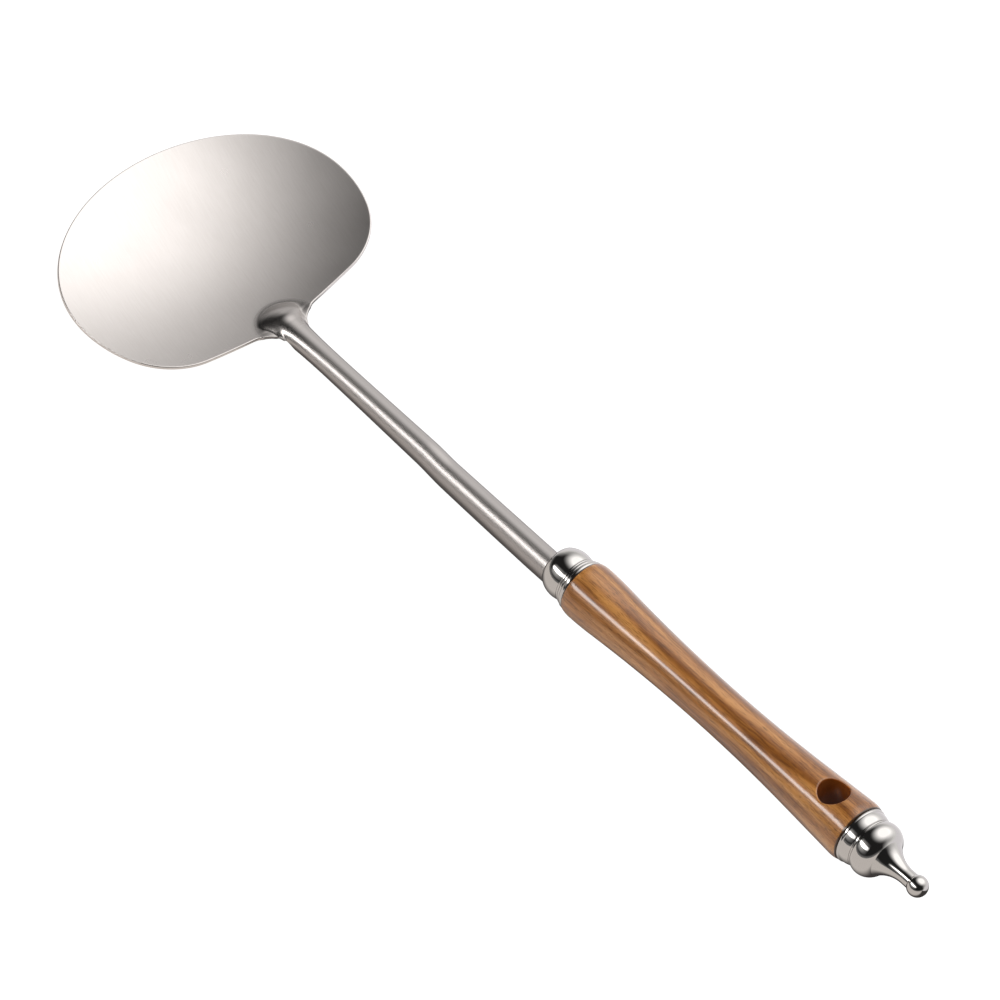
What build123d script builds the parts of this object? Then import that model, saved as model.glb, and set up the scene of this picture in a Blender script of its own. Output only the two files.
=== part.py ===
"""Wok spatula: a dished sheet-steel blade with its shaft rolled from the same sheet,
a chrome ferrule, a turned wooden grip with a hanging hole, and a chrome end finial.

Lengths are millimetres. Stations along the handle axis are counted from the neck,
where the blade's rear edge meets the shaft: the blade is at minus, the handle at plus.
The tool lies as it rests on a table: on the blade and on the front swell of the grip.
"""

from build123d import *
from math import asin, atan, atan2, cos, degrees, exp, hypot, radians, sin, sqrt, tan
import os

os.makedirs("parts", exist_ok=True)

# Blade: seen from above it is half an ellipse in front, and behind it a side arc,
# a shoulder arc, an almost straight rear edge and a flare that runs into the shaft.
sheet = 1.2
blade_width = 114.6
blade_front = 45.7
blade_back = 37.0
side_arc_r = 43.3
shoulder_arc_r = 26.9
rear_edge_x = 0.3
rear_edge_slant = radians(6.9)
flare_r = 11.6

# Dish: radii of curvature along and across, and the height of its middle against
# the handle axis.
dish_length_r = 192.0
dish_width_r = 222.0
dish_level = -3.03
blade_pitch = radians(0.55)

# Nose: the swell with a crisp rounded front that stiffens the neck.
nose_length = 9.7
nose_half_width = 9.8
nose_height = 3.0

# Shaft: a channel at the neck, open below, that is rolled almost shut towards the
# ferrule. It lies a little below the handle axis and steps down halfway.
shaft_r_front = 3.9
shaft_r_rear = 4.7
shaft_drop_front = 0.93
shaft_drop_rear = 3.4
step_x = 69.0
step_length = 13.0
step_drop = 0.85
wrap_front = radians(111)
wrap_rear = radians(167)
neck_widening = 1.6
neck_fade = 10.7

# Ferrule: a ball with a flat mouth, then two thin rings and a flange at the wood.
joint_x = 146.9
flange_r = 9.7
flange_width = 1.3
ring_2_r = 9.25
ring_2_width = 0.9
ring_1_r = 8.9
ring_1_width = 0.7
ring_gap = 0.3
ring_groove = 0.35
ring_crown = 0.06
ball_r = 9.1
ball_behind = 2.8
ball_ahead = 6.1
mouth_rounding = 1.2
cup_r = 6.6
cup_depth = 7.3

# Grip: a rounded front swell, a long waist, and a straight flare to the rear swell.
# The shares place the waist along the grip, and say how much of the way from the
# waist to each swell is hollow: the rest is the swell's own curve or the flare.
grip_length = 136.9
grip_front_r = 9.95
swell_r = 10.45
swell_back = 3.6
waist_r = 8.22
waist_share = 0.4755
front_hollow_share = 0.834
rear_hollow_share = 0.3225
rear_swell_r = 11.28
rear_swell_ahead = 3.8
grip_end_r = 10.8

# Hanging hole, with a broken edge.
hole_ahead = 13.5
hole_r = 5.5
hole_chamfer = 0.7

# Finial: tapered collar, thin ring, bead, concave cone, neck and end ball. Lengths
# are counted from the wood's end.
collar_length = 4.7
collar_end_r = 9.65
thin_ring_r = 9.7
thin_ring_width = 0.5
bead_start = 5.8
bead_start_r = 9.85
bead_crown = 8.1
bead_crown_r = 10.3
crease = 13.5
crease_r = 7.1
cone_end = 23.2
neck_r = 2.92
end_ball = 28.5
end_ball_r = 3.85
finial_cup_r = 7.6
finial_cup_depth = 5.0

# Inner steel: the tang's plug, disc and rod, and the finial's stud.
plug_length = 14.0
disc_thickness = 2.0
rod_r = 2.5
rod_depth = 60.0
stud_r = 2.0
stud_wall = 1.6
stud_depth = 10.0
fit = 0.1
overrun = 4.0

# Stations along the axis that follow from these lengths.
flange_x = joint_x - flange_width
ring_2_x = flange_x - ring_gap - ring_2_width
ring_1_x = ring_2_x - ring_gap - ring_1_width
ball_end_x = ring_1_x - ring_gap
ball_x = ball_end_x - ball_behind
mouth_x = ball_x - ball_ahead
shaft_end_x = joint_x - cup_depth - fit
straight_x = shaft_end_x - plug_length - fit
swell_x = joint_x + swell_back
waist_x = joint_x + grip_length * waist_share
grip_end_x = joint_x + grip_length
rear_swell_x = grip_end_x - rear_swell_ahead
hole_x = grip_end_x - hole_ahead
collar_end_x = grip_end_x + collar_length
thin_ring_x = collar_end_x + ring_gap
bead_start_x = grip_end_x + bead_start
bead_crown_x = grip_end_x + bead_crown
crease_x = grip_end_x + crease
cone_end_x = grip_end_x + cone_end
end_ball_x = grip_end_x + end_ball

right_angle = degrees(asin(1))
half_width = blade_width / 2
widest_x = -blade_back
tip_x = widest_x - blade_front

# Resting pose: the tilt that brings the dish and the grip's front swell to the table.
blade_under = sheet - dish_level
rest_tilt = atan((swell_r - blade_under) / (swell_x - widest_x))
tip_rise = dish_level + blade_front**2 / (2 * dish_length_r) + tan(blade_pitch) * blade_front
tip_reach = -tip_x * cos(rest_tilt) + tip_rise * sin(rest_tilt)
tail_reach = end_ball_x * cos(rest_tilt) + end_ball_r
neck_x = (tip_reach - tail_reach) / 2
dish_slip = dish_length_r * (tan(rest_tilt) - tan(blade_pitch)) ** 2 / 2
neck_height = (dish_slip + blade_under) * cos(rest_tilt) - widest_x * sin(rest_tilt)

axis_dir = Vector(cos(rest_tilt), 0, sin(rest_tilt))
up_dir = Vector(-sin(rest_tilt), 0, cos(rest_tilt))
neck = Vector(neck_x, 0, neck_height)
across = Plane(origin=neck, x_dir=(0, 1, 0), z_dir=axis_dir)
side = Plane(origin=neck, x_dir=axis_dir, z_dir=(0, -1, 0))
plan = Plane(origin=neck, x_dir=axis_dir, z_dir=up_dir)
handle_axis = Axis(origin=neck, direction=axis_dir)


def spread(start, end, count):
    """Evenly spaced values, both ends included."""
    return [start + (end - start) * i / (count - 1) for i in range(count)]


def ease(share):
    """Smooth step from 0 to 1."""
    share = min(max(share, 0), 1)
    return share * share * (3 - 2 * share)


def dish_height(x, y):
    """Upper surface of the plain dish, against the handle axis."""
    rise = (x - widest_x) ** 2 / (2 * dish_length_r) + y**2 / (2 * dish_width_r)
    return dish_level + rise - tan(blade_pitch) * (x - widest_x)


def nose_swell(x, y):
    """Height of the nose over the dish, nought outside its rounded front."""
    reach = min(x, 0) / nose_length
    return nose_height * max(1 - reach**2 - (y / nose_half_width) ** 2, 0)


def shaft_radius(x):
    run = min(max(x / straight_x, 0), 1)
    return shaft_r_front + (shaft_r_rear - shaft_r_front) * run


def shaft_half_width(x):
    """The shaft is a little wider than round where it leaves the neck."""
    return shaft_radius(x) + neck_widening * exp(-max(x, 0) / neck_fade)


def shaft_centre(x):
    """Height of the shaft's centre against the handle axis."""
    run = min(max(x / straight_x, 0), 1)
    slope = (shaft_drop_rear - shaft_drop_front - step_drop) * run
    return -shaft_drop_front - slope - step_drop * ease((x - step_x) / step_length)


def shaft_wrap(x):
    """How far round the sheet is rolled, from the top to each edge."""
    return wrap_front + (wrap_rear - wrap_front) * ease(x / straight_x)


# The flare's arc touches the shaft's side and the blade's rear edge.
rear_normal = Vector(cos(rear_edge_slant), sin(rear_edge_slant))
rear_tangent = Vector(-sin(rear_edge_slant), cos(rear_edge_slant))
rear_offset = rear_edge_x * cos(rear_edge_slant)
flare_y = shaft_r_front + flare_r
flare_x = (rear_offset + flare_r - sin(rear_edge_slant) * flare_y) / cos(rear_edge_slant)

# Over the neck the sheet fans out from the rolled shaft to the blade's full width.
sheet_reach = half_width + overrun
fan_full_share = 0.11
fan_margin_share = 1.06
fold_start_share = 0.17
fold_end_share = 0.28
edge_spread_share = 0.95


def fan(x):
    """Share of the blade's full width that the sheet has reached at a station."""
    if x >= flare_x:
        return 0
    arc = flare_r - sqrt(flare_r**2 - (flare_x - max(x, 0)) ** 2)
    share = fan_margin_share * arc / (sheet_reach - shaft_r_front)
    past = min(max(-x / (fan_full_share * blade_back), 0), 1)
    return share + (1 - share) * past


def sheet_point(x, v):
    """Upper surface at a station: v runs from -1 at one edge to 1 at the other."""
    share = fan(x)
    flat = ease((share - fold_start_share) / (fold_end_share - fold_start_share))
    turn = shaft_wrap(x) * v
    wide = sheet_reach * ((1 - edge_spread_share) * v + edge_spread_share * v**3)
    y = (1 - share) * shaft_half_width(x) * sin(turn) + share * wide
    rolled = shaft_centre(x) + shaft_radius(x) * cos(turn)
    return y, (1 - flat) * rolled + flat * (dish_height(x, y) + nose_swell(x, y))


def under_point(x, v):
    """Lower surface: the sheet's thickness square to the section's line."""
    small_share = 0.001
    y0, z0 = sheet_point(x, v - small_share)
    y1, z1 = sheet_point(x, v + small_share)
    run = hypot(y1 - y0, z1 - z0)
    y, z = sheet_point(x, v)
    return y + sheet * (z1 - z0) / run, z - sheet * (y1 - y0) / run


# Stations of the sheet: wide apart on the dish, close over the nose and the flare.
quarter_turn = [radians(turn) for turn in spread(0, right_angle, 9)[1:]]
stations = spread(tip_x - overrun, -nose_length, 10)
stations += [-nose_length * cos(turn) for turn in quarter_turn]
stations += [flare_x - flare_x * cos(turn) for turn in quarter_turn]
stations += [flare_x + (step_x - flare_x) * share**2 for share in spread(0, 1, 7)[1:]]
stations += spread(step_x, step_x + step_length, 6)[1:]
stations += [straight_x, shaft_end_x]
edge_to_edge = spread(-1, 1, 29)

# Blade outline: the shoulder arc touches both the side arc and the rear edge.
side_centre = Vector(widest_x, half_width - side_arc_r)
inset = rear_offset - shoulder_arc_r - rear_normal.dot(side_centre)
slide = sqrt((side_arc_r - shoulder_arc_r) ** 2 - inset**2)
shoulder_centre = side_centre + rear_normal * inset + rear_tangent * slide
shoulder_turn = atan2(shoulder_centre.Y - side_centre.Y, shoulder_centre.X - side_centre.X)
trim_turn = asin((flare_x - nose_length / 3) / flare_r)

with BuildPart() as blade_and_shaft:
    for x in stations:
        with BuildSketch(across.offset(x)):
            with BuildLine():
                upper = Spline(*[sheet_point(x, v) for v in edge_to_edge])
                lower = Spline(*[under_point(x, v) for v in edge_to_edge])
                Line(upper @ 0, lower @ 0)
                Line(upper @ 1, lower @ 1)
            make_face()
    loft(ruled=True)
    with BuildSketch(plan):
        with BuildLine():
            EllipticalCenterArc(
                (widest_x, 0),
                blade_front,
                half_width,
                start_angle=right_angle,
                arc_size=right_angle,
            )
            CenterArc(
                side_centre,
                side_arc_r,
                degrees(shoulder_turn),
                right_angle - degrees(shoulder_turn),
            )
            shoulder = CenterArc(
                shoulder_centre,
                shoulder_arc_r,
                degrees(rear_edge_slant),
                degrees(shoulder_turn - rear_edge_slant),
            )
            flare = CenterArc(
                (flare_x, flare_y),
                flare_r,
                right_angle * 2 + degrees(rear_edge_slant),
                right_angle - degrees(rear_edge_slant + trim_turn),
            )
            Line(shoulder @ 0, flare @ 0)
            Polyline(
                flare @ 1,
                (shaft_end_x + overrun, (flare @ 1).Y),
                (shaft_end_x + overrun, 0),
            )
            mirror(about=Plane.XZ)
        make_face()
    extrude(amount=half_width, both=True, mode=Mode.INTERSECT)

blade_and_shaft.part.label = "blade_and_shaft"
export_step(blade_and_shaft.part, "parts/blade_and_shaft.step")

# The shaft's end lies below the handle axis, so the ferrule's mouth is bored there.
shaft_axis = across.offset(shaft_end_x).shift_origin(
    across.offset(shaft_end_x).from_local_coords((0, shaft_centre(shaft_end_x)))
)
cup_floor_x = shaft_end_x + fit
disc_x = cup_floor_x + fit
ball_start_r = sqrt(ball_r**2 - (ball_x - mouth_x) ** 2)
ball_stop_r = sqrt(ball_r**2 - (ball_end_x - ball_x) ** 2)

with BuildPart() as front_ferrule:
    with BuildSketch(side):
        with BuildLine():
            ThreePointArc((mouth_x, ball_start_r), (ball_x, ball_r), (ball_end_x, ball_stop_r))
            Polyline(
                (ball_end_x, ball_stop_r),
                (ball_end_x, ring_1_r - ring_groove),
                (ring_1_x, ring_1_r - ring_groove),
                (ring_1_x, ring_1_r),
                (ring_1_x + ring_1_width, ring_1_r),
                (ring_1_x + ring_1_width, ring_1_r - ring_groove),
                (ring_2_x, ring_1_r - ring_groove),
                (ring_2_x, ring_2_r),
                (ring_2_x + ring_2_width, ring_2_r),
                (ring_2_x + ring_2_width, ring_2_r - ring_groove),
                (flange_x, ring_2_r - ring_groove),
                (flange_x, flange_r),
            )
            ThreePointArc(
                (flange_x, flange_r),
                (flange_x + flange_width / 2, flange_r + ring_crown),
                (joint_x, flange_r),
            )
            Polyline((joint_x, flange_r), (joint_x, 0), (mouth_x, 0), (mouth_x, ball_start_r))
        ferrule_half = make_face()
        fillet(ferrule_half.vertices().sort_by_distance((mouth_x, ball_start_r))[0], mouth_rounding)
    revolve(axis=handle_axis)
    with BuildSketch(across.offset(joint_x)):
        Circle(cup_r)
    extrude(amount=cup_floor_x - joint_x, mode=Mode.SUBTRACT)
    with BuildSketch(shaft_axis.offset(disc_x - shaft_end_x)):
        Circle(shaft_r_rear + fit)
    extrude(amount=mouth_x - disc_x - overrun, mode=Mode.SUBTRACT)

front_ferrule.part.label = "front_ferrule"
export_step(front_ferrule.part, "parts/front_ferrule.step")

with BuildPart() as handle_tang:
    with BuildSketch(shaft_axis.offset(disc_x - shaft_end_x)):
        Circle(shaft_r_rear - sheet - fit)
    extrude(amount=-plug_length)
    with BuildSketch(across.offset(disc_x)):
        Circle(cup_r - fit)
    extrude(amount=disc_thickness)
    with BuildSketch(across.offset(disc_x)):
        Circle(rod_r)
    extrude(amount=joint_x + rod_depth - disc_x)
    chamfer(handle_tang.faces().sort_by(handle_axis)[-1].edges(), fit * 5)

handle_tang.part.label = "handle_tang"
export_step(handle_tang.part, "parts/handle_tang.step")

front_spigot_x = disc_x + disc_thickness + fit
rear_spigot_x = grip_end_x + finial_cup_depth - fit
stud_front_x = hole_x + hole_r + stud_wall
stud_end_x = grip_end_x + finial_cup_depth + stud_depth
hole_plane = Plane(origin=neck + axis_dir * hole_x, x_dir=axis_dir, z_dir=up_dir)

# The front swell's arc meets the hollow's arc where both have the same slope, and the
# hollow behind the waist ends where it has turned into the rear flare.
turn_x = waist_x - (waist_x - swell_x) * front_hollow_share
turn_r = waist_r + (swell_r - waist_r) * front_hollow_share
flare_meets_x = waist_x + (rear_swell_x - waist_x) * rear_hollow_share
rear_flare = atan((rear_swell_r - waist_r) / (rear_swell_x - flare_meets_x))
flare_start_x = flare_meets_x + (flare_meets_x - waist_x) * cos(rear_flare)
flare_start_r = waist_r + (flare_meets_x - waist_x) * sin(rear_flare)

with BuildPart() as wooden_handle:
    with BuildSketch(side):
        with BuildLine():
            TangentArc((swell_x, swell_r), (joint_x, grip_front_r), tangent=(-1, 0))
            TangentArc((swell_x, swell_r), (turn_x, turn_r), tangent=(1, 0))
            TangentArc((waist_x, waist_r), (turn_x, turn_r), tangent=(-1, 0))
            hollow = TangentArc((waist_x, waist_r), (flare_start_x, flare_start_r), tangent=(1, 0))
            Line((flare_start_x, flare_start_r), (rear_swell_x, rear_swell_r))
            TangentArc((rear_swell_x, rear_swell_r), (grip_end_x, grip_end_r), tangent=hollow % 1)
            Polyline(
                (grip_end_x, grip_end_r),
                (grip_end_x, finial_cup_r - fit),
                (rear_spigot_x, finial_cup_r - fit),
                (rear_spigot_x, 0),
                (front_spigot_x, 0),
                (front_spigot_x, cup_r - fit),
                (joint_x, cup_r - fit),
                (joint_x, grip_front_r),
            )
        make_face()
    revolve(axis=handle_axis)
    with BuildSketch(hole_plane):
        Circle(hole_r)
    extrude(amount=swell_r * 2, both=True, mode=Mode.SUBTRACT)
    lips = wooden_handle.edges(Select.LAST).filter_by(GeomType.BSPLINE)
    chamfer(lips, hole_chamfer)
    with BuildSketch(across.offset(front_spigot_x)):
        Circle(rod_r + fit)
    extrude(amount=joint_x + rod_depth + fit - front_spigot_x, mode=Mode.SUBTRACT)
    with BuildSketch(across.offset(rear_spigot_x)):
        Circle(stud_r + fit)
    extrude(amount=stud_front_x - fit - rear_spigot_x, mode=Mode.SUBTRACT)

wooden_handle.part.label = "wooden_handle"
export_step(wooden_handle.part, "parts/wooden_handle.step")

with BuildPart() as end_finial:
    with BuildSketch(side):
        with BuildLine():
            Polyline(
                (grip_end_x, grip_end_r),
                (collar_end_x, collar_end_r),
                (collar_end_x, thin_ring_r - ring_groove),
                (thin_ring_x, thin_ring_r - ring_groove),
                (thin_ring_x, thin_ring_r),
                (thin_ring_x + thin_ring_width, thin_ring_r),
                (thin_ring_x + thin_ring_width, thin_ring_r - ring_groove),
                (bead_start_x, thin_ring_r - ring_groove),
                (bead_start_x, bead_start_r),
            )
            TangentArc(
                (bead_crown_x, bead_crown_r), (bead_start_x, bead_start_r), tangent=(-1, 0)
            )
            TangentArc((bead_crown_x, bead_crown_r), (crease_x, crease_r), tangent=(1, 0))
            TangentArc((cone_end_x, neck_r), (crease_x, crease_r), tangent=(-1, 0))
            Line((cone_end_x, neck_r), (end_ball_x, neck_r))
            Polyline(
                (end_ball_x, neck_r),
                (end_ball_x, 0),
                (grip_end_x, 0),
                (grip_end_x, grip_end_r),
            )
        make_face()
    revolve(axis=handle_axis)
    with BuildSketch(side):
        with Locations((end_ball_x, 0)):
            Circle(end_ball_r)
            Rectangle(
                end_ball_r * 2, end_ball_r, align=(Align.CENTER, Align.MAX), mode=Mode.SUBTRACT
            )
    revolve(axis=handle_axis)
    with BuildSketch(across.offset(grip_end_x)):
        Circle(finial_cup_r)
    extrude(amount=finial_cup_depth, mode=Mode.SUBTRACT)
    with BuildSketch(across.offset(grip_end_x)):
        Circle(stud_r + fit)
    extrude(amount=stud_end_x + fit - grip_end_x, mode=Mode.SUBTRACT)

end_finial.part.label = "end_finial"
export_step(end_finial.part, "parts/end_finial.step")

with BuildPart() as finial_stud:
    with BuildSketch(across.offset(stud_front_x)):
        Circle(stud_r)
    extrude(amount=stud_end_x - stud_front_x)
    ends = finial_stud.faces().filter_by(Plane(neck, z_dir=axis_dir)).edges()
    chamfer(ends, fit * 3)

finial_stud.part.label = "finial_stud"
export_step(finial_stud.part, "parts/finial_stud.step")
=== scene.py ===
"""Looks of the wok spatula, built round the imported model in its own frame, in metres."""

import math

import bmesh
import bpy
import numpy as np
from mathutils import Matrix, Vector


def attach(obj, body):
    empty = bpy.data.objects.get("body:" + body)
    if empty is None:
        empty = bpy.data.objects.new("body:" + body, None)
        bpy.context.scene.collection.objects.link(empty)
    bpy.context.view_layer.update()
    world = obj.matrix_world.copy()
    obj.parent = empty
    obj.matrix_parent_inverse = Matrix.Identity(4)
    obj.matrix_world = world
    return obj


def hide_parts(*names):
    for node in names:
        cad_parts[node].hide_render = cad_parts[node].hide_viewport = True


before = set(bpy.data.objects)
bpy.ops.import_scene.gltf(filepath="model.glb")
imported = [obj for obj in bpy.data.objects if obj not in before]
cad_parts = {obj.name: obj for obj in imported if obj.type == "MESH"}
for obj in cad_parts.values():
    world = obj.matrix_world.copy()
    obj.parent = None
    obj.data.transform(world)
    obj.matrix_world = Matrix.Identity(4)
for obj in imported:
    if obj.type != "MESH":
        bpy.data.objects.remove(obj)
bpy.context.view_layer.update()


# Studio: the tool lies on a white light table, under one broad soft light over its far
# side and a long strip light along its near side. The far wall is white low down, and
# the rest of the room is black cloth, which polished metal shows as its dark parts.
MM = 0.001
neck = Vector((-116.615, 0, 5.508)) * MM  # where the blade's rear edge meets the shaft
tilt = 0.033161  # the handle axis rises by this angle towards the finial
along = Vector((math.cos(tilt), 0, math.sin(tilt)))
upright = Vector((-math.sin(tilt), 0, math.cos(tilt)))
sideways = Vector((0, 1, 0))
picture_width = 333.33 * MM  # what the picture spans, a little before the ferrule
picture_right, picture_down = 71.1 * MM, 59.1 * MM  # from the neck to the picture's middle
nearer = 40 * MM  # that width holds this much nearer to the camera than the neck
table_reach = 6  # half of the table's side, in metres


def colour(code):
    """sRGB hex value as linear RGBA."""
    parts = [int(code[i:i + 2], 16) / 255 for i in (1, 3, 5)]
    return tuple(p / 12.92 if p <= 0.04045 else ((p + 0.055) / 1.055) ** 2.4 for p in parts) + (1,)


def add(tree, kind, inputs=None, **settings):
    """Adds a node with its settings. An input is given as a value, as the output to link
    to it, or as a node, of which it takes the first output in use."""
    node = tree.nodes.new(kind)
    for name, value in settings.items():
        setattr(node, name, value)
    for name, value in (inputs or {}).items():
        if isinstance(value, bpy.types.Node):
            value = next(socket for socket in value.outputs if socket.enabled)
        if isinstance(value, bpy.types.NodeSocket):
            tree.links.new(value, node.inputs[name])
        else:
            node.inputs[name].default_value = value
    return node


def new_material(name):
    """A material and its emptied node tree."""
    material = bpy.data.materials.new(name)
    material.use_nodes = True
    material.node_tree.nodes.clear()
    return material, material.node_tree


# The camera's directions as parts of the handle's own, measured in the photograph.
view_right = along * 0.6702 + sideways * 0.7397 + upright * 0.0577
view_back = (along * 0.4380 - sideways * 0.4574 + upright * 0.7735).normalized()
view_up = view_back.cross(view_right).normalized()
view_right = view_up.cross(view_back)
camera_data = bpy.data.cameras.new("camera")
camera_data.lens = 1650  # far away, because the photograph shows next to no perspective
camera_data.sensor_width = 36
camera_data.clip_start, camera_data.clip_end = 1, 60
camera = bpy.data.objects.new("camera", camera_data)
bpy.context.scene.collection.objects.link(camera)
reach = picture_width * camera_data.lens / camera_data.sensor_width + nearer
camera_place = neck + view_right * picture_right - view_up * picture_down + view_back * reach
camera.matrix_world = Matrix([
    (view_right[i], view_up[i], view_back[i], camera_place[i]) for i in range(3)] + [(0, 0, 0, 1)])
bpy.context.scene.camera = camera
bpy.context.scene.view_settings.view_transform = "Standard"

# The camera sees the table pure white. In the metal it shows as the photograph's beige
# on the near side and light grey on the far side, and dark where the tool shades it.
table_mesh = bpy.data.meshes.new("table")
table_mesh.from_pydata(
    [(x * table_reach, y * table_reach, 0) for x, y in ((-1, -1), (1, -1), (1, 1), (-1, 1))],
    [], [(0, 1, 2, 3)])
table = bpy.data.objects.new("table", table_mesh)
bpy.context.scene.collection.objects.link(table)
table_material, tree = new_material("white_light_table")
paint = add(tree, "ShaderNodeBsdfDiffuse", {"Color": colour("#F4F1EE")})
lit = add(tree, "ShaderNodeEmission", {"Color": colour("#FFFFFF"), "Strength": 1.16})
seen = add(tree, "ShaderNodeMixShader", {0: 0.86, 1: paint, 2: lit})
table_at = add(tree, "ShaderNodeTexCoord").outputs["Object"]
table_y = add(tree, "ShaderNodeSeparateXYZ", {0: table_at}).outputs["Y"]
far_side = add(tree, "ShaderNodeMapRange", {
    "Value": table_y, "From Min": -4 * MM, "From Max": 8 * MM}, interpolation_type="SMOOTHSTEP")
two_sides = add(tree, "ShaderNodeMix", {
    "Factor": far_side, "A": colour("#BBB5B0"), "B": colour("#CFCCCE")}, data_type="RGBA")
# Painted shadow: the tool's shade on the table is painted into its reflected colour as a dark strip within
# 10 mm of a line under the tool, fading out by 24 mm.
from_tool = add(tree, "ShaderNodeMath", {0: table_y, 1: 5 * MM}, operation="SUBTRACT")
off_tool = add(tree, "ShaderNodeMath", {0: from_tool}, operation="ABSOLUTE")
out_of_painted_shadow = add(tree, "ShaderNodeMapRange", {
    "Value": off_tool, "From Min": 10 * MM, "From Max": 24 * MM}, interpolation_type="SMOOTHSTEP")
with_painted_shadow = add(tree, "ShaderNodeMix", {
    "Factor": out_of_painted_shadow, "A": colour("#3A3736"), "B": two_sides}, data_type="RGBA")
mirrored = add(tree, "ShaderNodeEmission", {"Color": with_painted_shadow, "Strength": 1.6})
seen_directly = add(tree, "ShaderNodeLightPath").outputs["Is Camera Ray"]
table_mix = add(tree, "ShaderNodeMixShader", {0: seen_directly, 1: mirrored, 2: seen})
add(tree, "ShaderNodeOutputMaterial", {0: table_mix})
table_mesh.materials.append(table_material)

world = bpy.data.worlds.new("studio")
bpy.context.scene.world = world
world.use_nodes = True
tree = world.node_tree
tree.nodes.clear()
heading = add(tree, "ShaderNodeTexCoord").outputs["Generated"]
heading_x, heading_y, heading_z = add(tree, "ShaderNodeSeparateXYZ", {0: heading}).outputs


def soft_light(direction, full_angle, no_angle, strength, falloff):
    """Brightness of a round soft light: even inside one angle, none outside the other."""
    full, none = (math.cos(math.radians(angle)) for angle in (full_angle, no_angle))
    facing = add(tree, "ShaderNodeVectorMath", {
        0: heading, 1: Vector(direction).normalized()}, operation="DOT_PRODUCT")
    inside = add(tree, "ShaderNodeMapRange", {"Value": facing, "From Min": none, "From Max": full})
    faded = add(tree, "ShaderNodeMath", {0: inside, 1: falloff}, operation="POWER")
    return add(tree, "ShaderNodeMath", {0: faded, 1: strength}, operation="MULTIPLY")


def strip_light(height, full_angle, no_angle, strength):
    """Brightness of an endless strip light along the tool's near side, at a height angle."""
    full, none = (math.cos(math.radians(angle)) for angle in (full_angle, no_angle))
    middle = Vector((0, -math.cos(math.radians(height)), math.sin(math.radians(height))))
    facing = add(tree, "ShaderNodeVectorMath", {0: heading, 1: middle}, operation="DOT_PRODUCT")
    across = add(tree, "ShaderNodeVectorMath", {0: heading, 1: (0, 1, 1)}, operation="MULTIPLY")
    length = add(tree, "ShaderNodeVectorMath", {0: across}, operation="LENGTH")
    cosine = add(tree, "ShaderNodeMath", {0: facing, 1: length}, operation="DIVIDE")
    return add(tree, "ShaderNodeMapRange", {
        "Value": cosine, "From Min": none, "From Max": full, "To Max": strength})


far_light = soft_light((0.05, 0.62, 0.78), 22, 56, 1.75, 2.2)
strip = add(tree, "ShaderNodeMath", {
    0: strip_light(38.6, 2.5, 8, 8.0), 1: strip_light(35, 6, 24, 0.6)}, operation="ADD")
strip_front = add(tree, "ShaderNodeMapRange", {
    "Value": heading_x, "From Min": -0.85, "From Max": -0.68})
strip_rear = add(tree, "ShaderNodeMapRange", {
    "Value": heading_x, "From Min": -0.35, "From Max": 0.45, "To Min": 1.0, "To Max": 0.0})
strip_length = add(tree, "ShaderNodeMath", {0: strip_front, 1: strip_rear}, operation="MULTIPLY")
near_light = add(tree, "ShaderNodeMath", {0: strip, 1: strip_length}, operation="MULTIPLY")
white_low = add(tree, "ShaderNodeMapRange", {
    "Value": heading_z, "From Min": 0.15, "From Max": 0.6, "To Min": 0.75, "To Max": 0.0})
white_far = add(tree, "ShaderNodeMapRange", {
    "Value": heading_y, "From Min": 0.15, "From Max": 0.5})
white_wall = add(tree, "ShaderNodeMath", {0: white_low, 1: white_far}, operation="MULTIPLY")
black_cloth = add(tree, "ShaderNodeMapRange", {
    "Value": heading_z, "From Min": 0.02, "From Max": 0.22, "To Min": 0.22, "To Max": 0.02},
    interpolation_type="SMOOTHSTEP")
studio_light = far_light
for light in (white_wall, near_light, black_cloth):
    studio_light = add(tree, "ShaderNodeMath", {0: studio_light, 1: light}, operation="ADD")
lighting = add(tree, "ShaderNodeBackground", {"Color": colour("#FFFDFB"), "Strength": studio_light})
backdrop = add(tree, "ShaderNodeBackground", {"Color": colour("#FFFFFF"), "Strength": 1.0})
seen_directly = add(tree, "ShaderNodeLightPath").outputs["Is Camera Ray"]
world_mix = add(tree, "ShaderNodeMixShader", {0: seen_directly, 1: lighting, 2: backdrop})
add(tree, "ShaderNodeOutputWorld", {0: world_mix})

# Two wide lamps light what isn't polished: the metal mirrors the lights above instead.
for name, direction, strength, width in (
        ("overhead_softbox", (0.1, 0.3, 0.9), 1.6, 60), ("front_fill", (0.35, -0.6, 0.72), 0.5, 80)):
    lamp = bpy.data.lights.new(name, "SUN")
    lamp.energy, lamp.angle = strength, math.radians(width)
    lamp_object = bpy.data.objects.new(name, lamp)
    lamp_object.rotation_mode = "QUATERNION"
    lamp_object.rotation_quaternion = Vector(direction).to_track_quat("Z", "Y")
    lamp_object.visible_glossy = False
    bpy.context.scene.collection.objects.link(lamp_object)


# Blade and shaft: one sheet of 1.2 mm stainless steel, pressed into a shallow oval dish
# with a raised nose at the neck, and rolled into a channel that closes towards the
# ferrule. The dish is brushed, and every edge is dressed. Sizes are in mm from the neck.
sheet = 1.2
edge_r = 0.3
blade_width, blade_front, blade_back = 114.6, 45.7, 37.0
side_arc_r, shoulder_arc_r = 43.3, 26.9
rear_edge_x, rear_edge_slant, flare_r = 0.3, math.radians(6.9), 11.6
dish_length_r, dish_width_r, dish_level, blade_pitch = 192.0, 222.0, -3.03, math.radians(0.55)
nose_length, nose_half_width, nose_height, nose_crease = 9.7, 9.8, 3.0, 0.05
nose_narrowing, nose_narrows_from, nose_narrows_to = 3.3, -6.0, 1.0
shaft_r_front, shaft_r_rear, shaft_drop_front, shaft_drop_rear = 3.9, 4.7, 0.93, 3.4
step_x, step_length, step_drop = 69.0, 13.0, 0.85
wrap_front, wrap_rear = math.radians(111), math.radians(167)
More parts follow.
